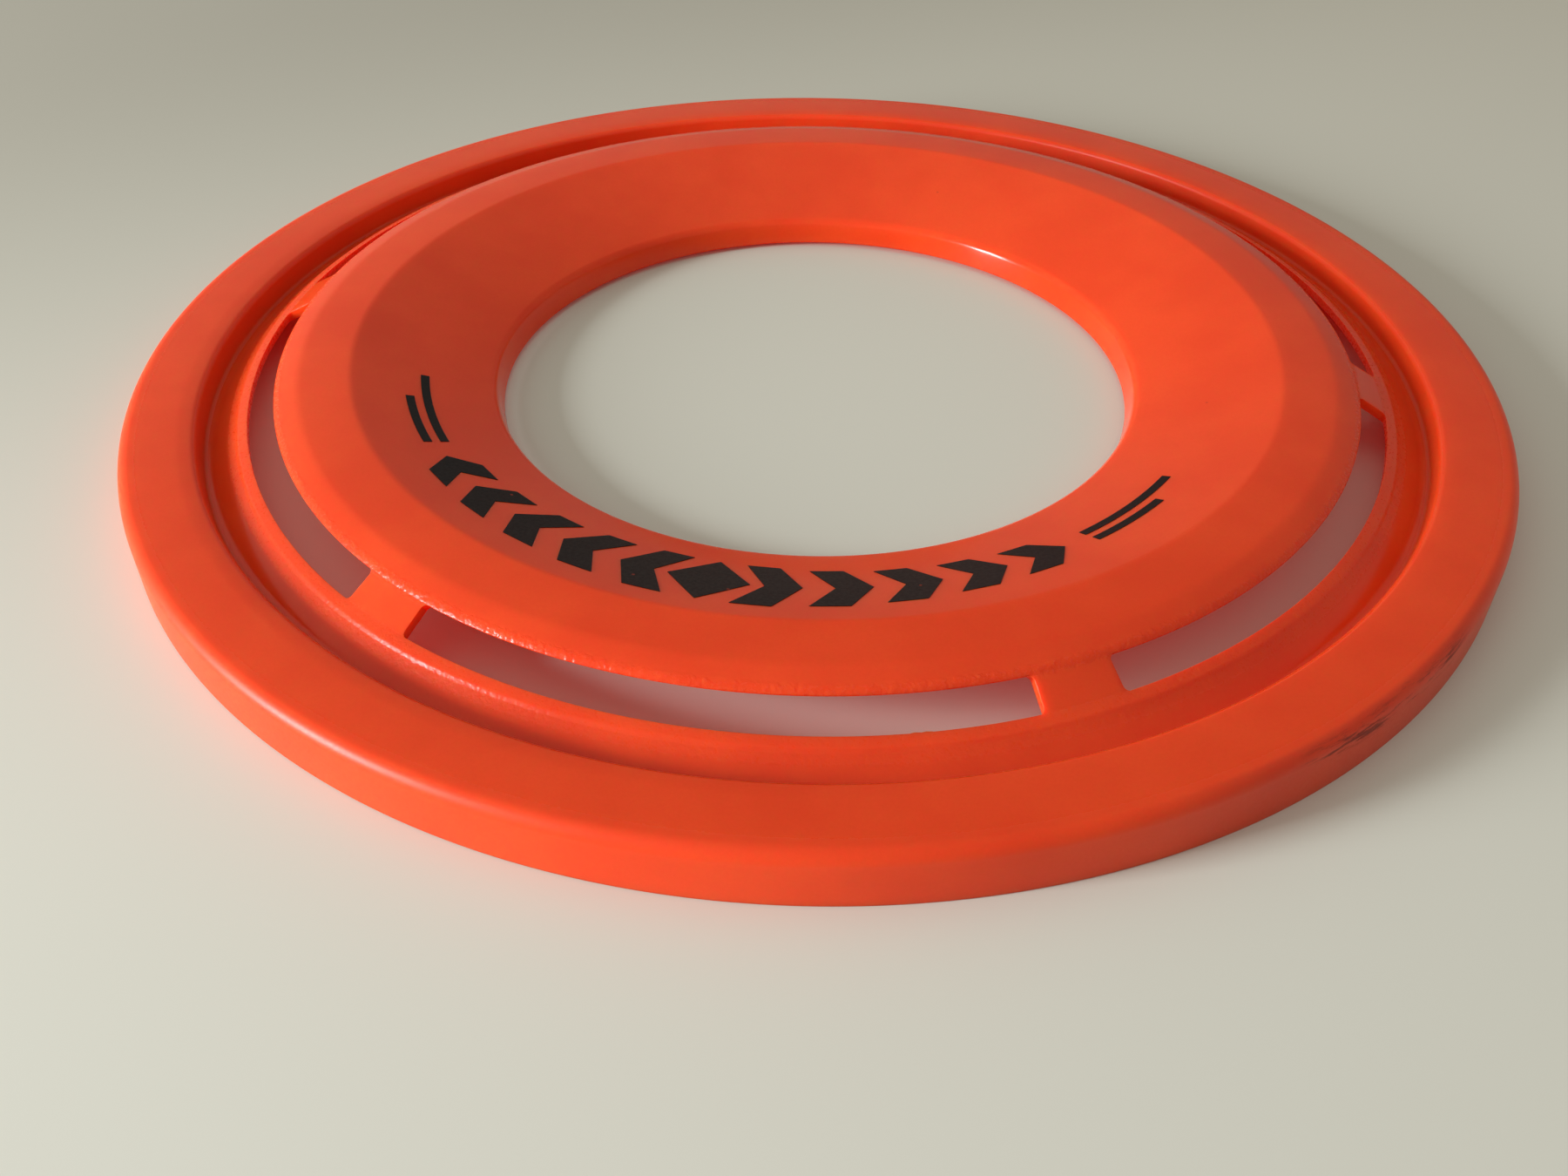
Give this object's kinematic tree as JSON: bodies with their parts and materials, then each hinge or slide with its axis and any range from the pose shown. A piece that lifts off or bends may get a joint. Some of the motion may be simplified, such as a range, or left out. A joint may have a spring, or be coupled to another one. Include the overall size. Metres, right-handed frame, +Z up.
{
  "type": "flying ring",
  "caption": "Flying ring for lawn games: a thin-walled plastic ring, open underneath, with a flat rim, thumb groove, air slots, raised crown and a wide central hand hole.",
  "frame": {"origin": "on the ring's axis, in the plane that its skirt stands on", "axes": "+Z up along the ring's axis, -Y towards the middle of the printed side, +X to the right of it"},
  "size_m": [0.29, 0.29, 0.0158],
  "materials": {
    "orange_plastic": "satin",
    "black_ink": "satin ink film"
  },
  "bodies": {
    "root": {"ring_moulding": "orange_plastic", "print_centre_diamond": "black_ink", "print_chevrons_left": "black_ink", "print_chevrons_right": "black_ink", "print_stripes_left": "black_ink", "print_stripes_right": "black_ink"}
  },
  "joints": []
}
